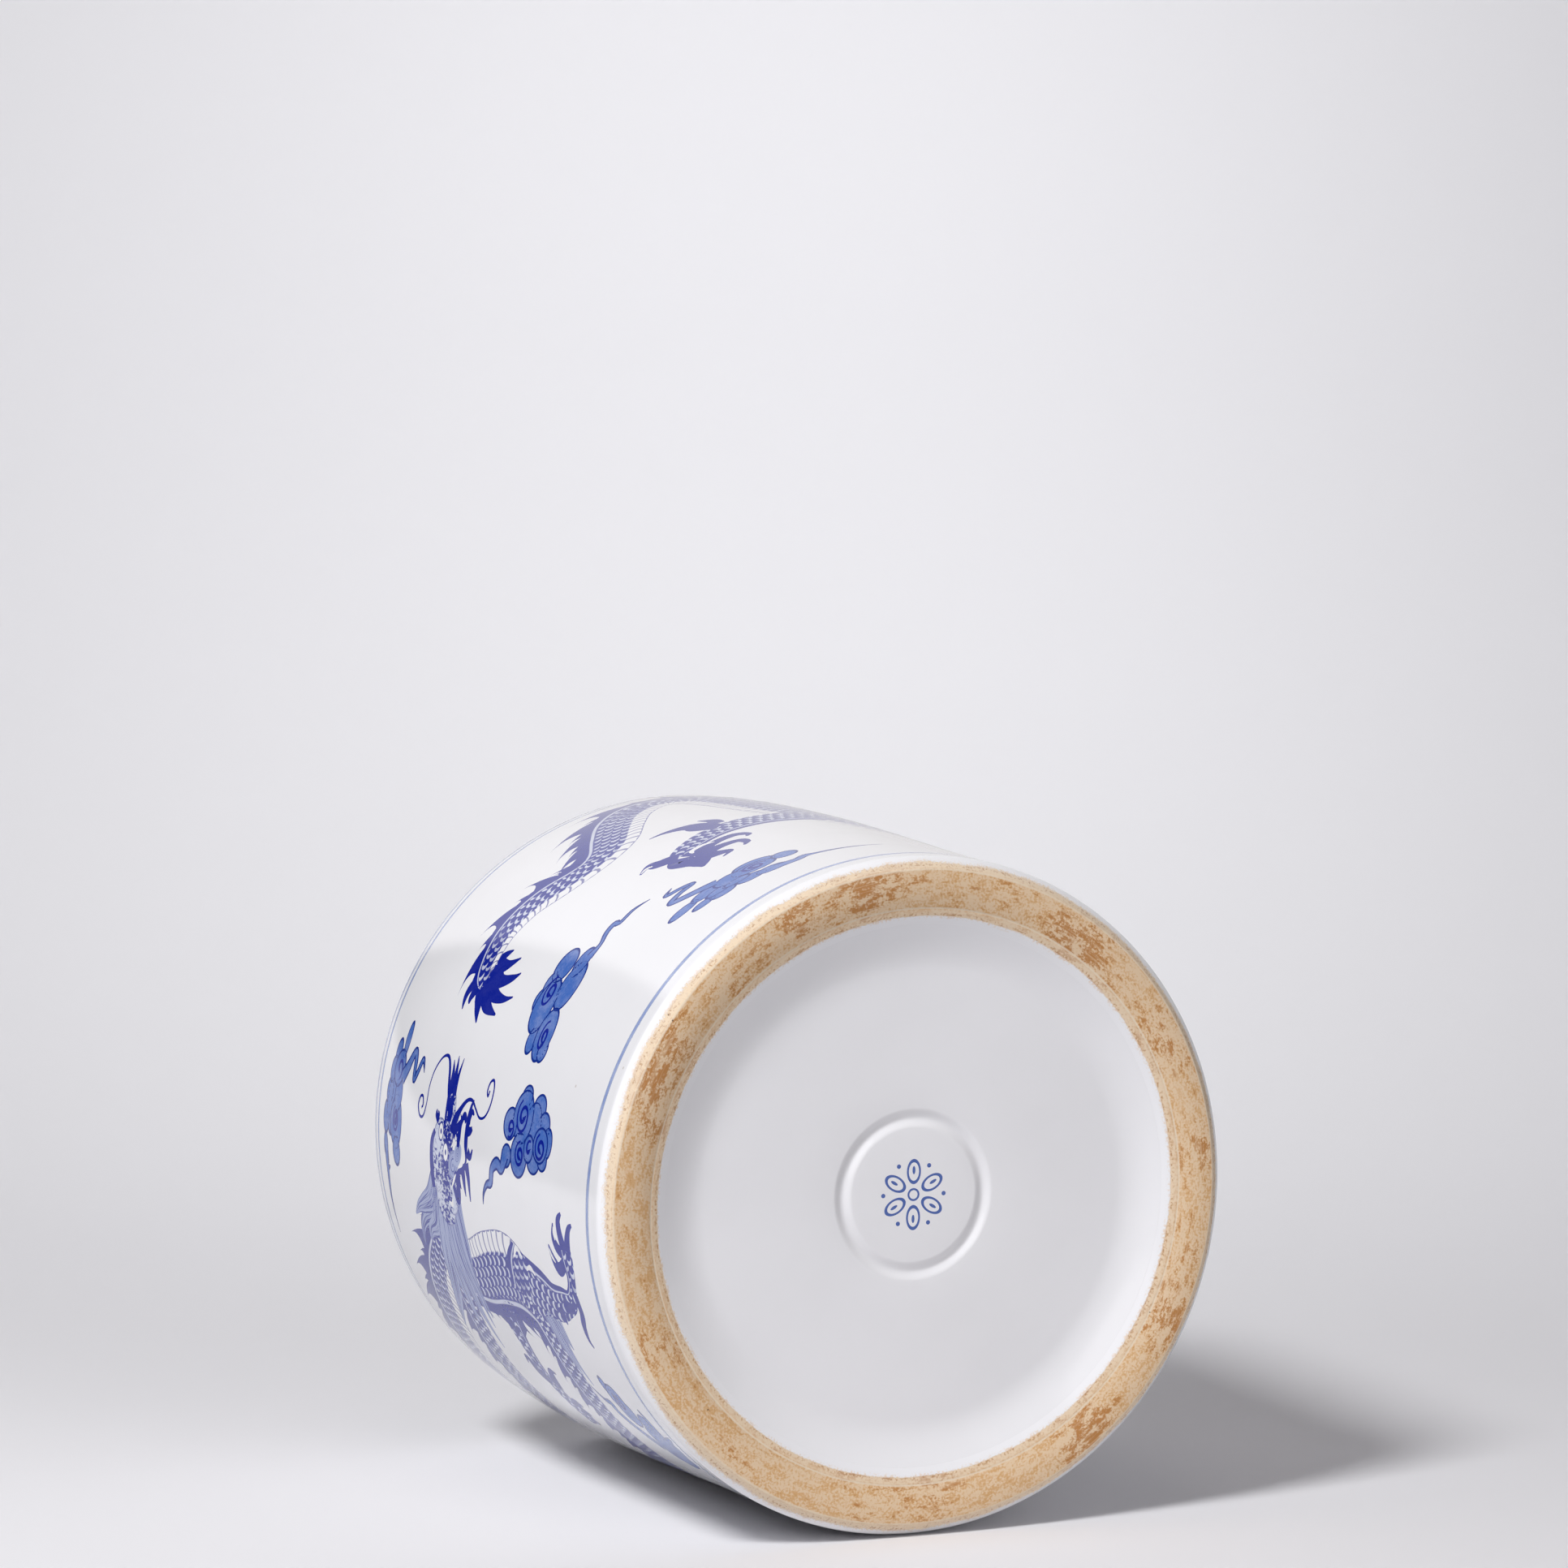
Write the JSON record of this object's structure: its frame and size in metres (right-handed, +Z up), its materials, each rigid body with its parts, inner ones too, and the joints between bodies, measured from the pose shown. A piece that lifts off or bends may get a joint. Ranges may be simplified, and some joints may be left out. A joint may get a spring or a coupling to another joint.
{
  "type": "brush pot",
  "caption": "Cylindrical glazed porcelain brush pot on an unglazed foot ring, with blue bands and transfers of dragons among clouds.",
  "frame": {"origin": "centre of the foot ring's flat standing face", "axes": "+Z up along the pot's axis, through the mouth; +X and +Y lie in the standing face"},
  "size_m": [0.1924, 0.1924, 0.178],
  "materials": {
    "white_glaze": "clear gloss glaze over white porcelain",
    "bare_clay": "unglazed fired clay, matt, mottled with iron spots",
    "cobalt_line": "brushed cobalt under a gloss glaze",
    "cobalt_print": "printed cobalt under a gloss glaze",
    "cobalt_wash": "pale cobalt wash with dark outlines under a gloss glaze"
  },
  "bodies": {
    "root": {"pot_wall": "white_glaze", "base_slab": "white_glaze", "foot_ring": "bare_clay", "foot_band": "cobalt_line", "mouth_band_lower": "cobalt_line", "mouth_band_upper": "cobalt_line", "roundel_ornament": "cobalt_line", "dragon_transfer_1": "cobalt_print", "mouth_cloud_transfer_1": "cobalt_wash", "cluster_cloud_transfer_1": "cobalt_wash", "drifting_cloud_transfer_1": "cobalt_wash", "foot_cloud_transfer_1": "cobalt_wash", "coiled_cloud_transfer_1": "cobalt_wash", "dragon_transfer_2": "cobalt_print", "mouth_cloud_transfer_2": "cobalt_wash", "cluster_cloud_transfer_2": "cobalt_wash", "drifting_cloud_transfer_2": "cobalt_wash", "foot_cloud_transfer_2": "cobalt_wash", "coiled_cloud_transfer_2": "cobalt_wash"}
  },
  "joints": []
}
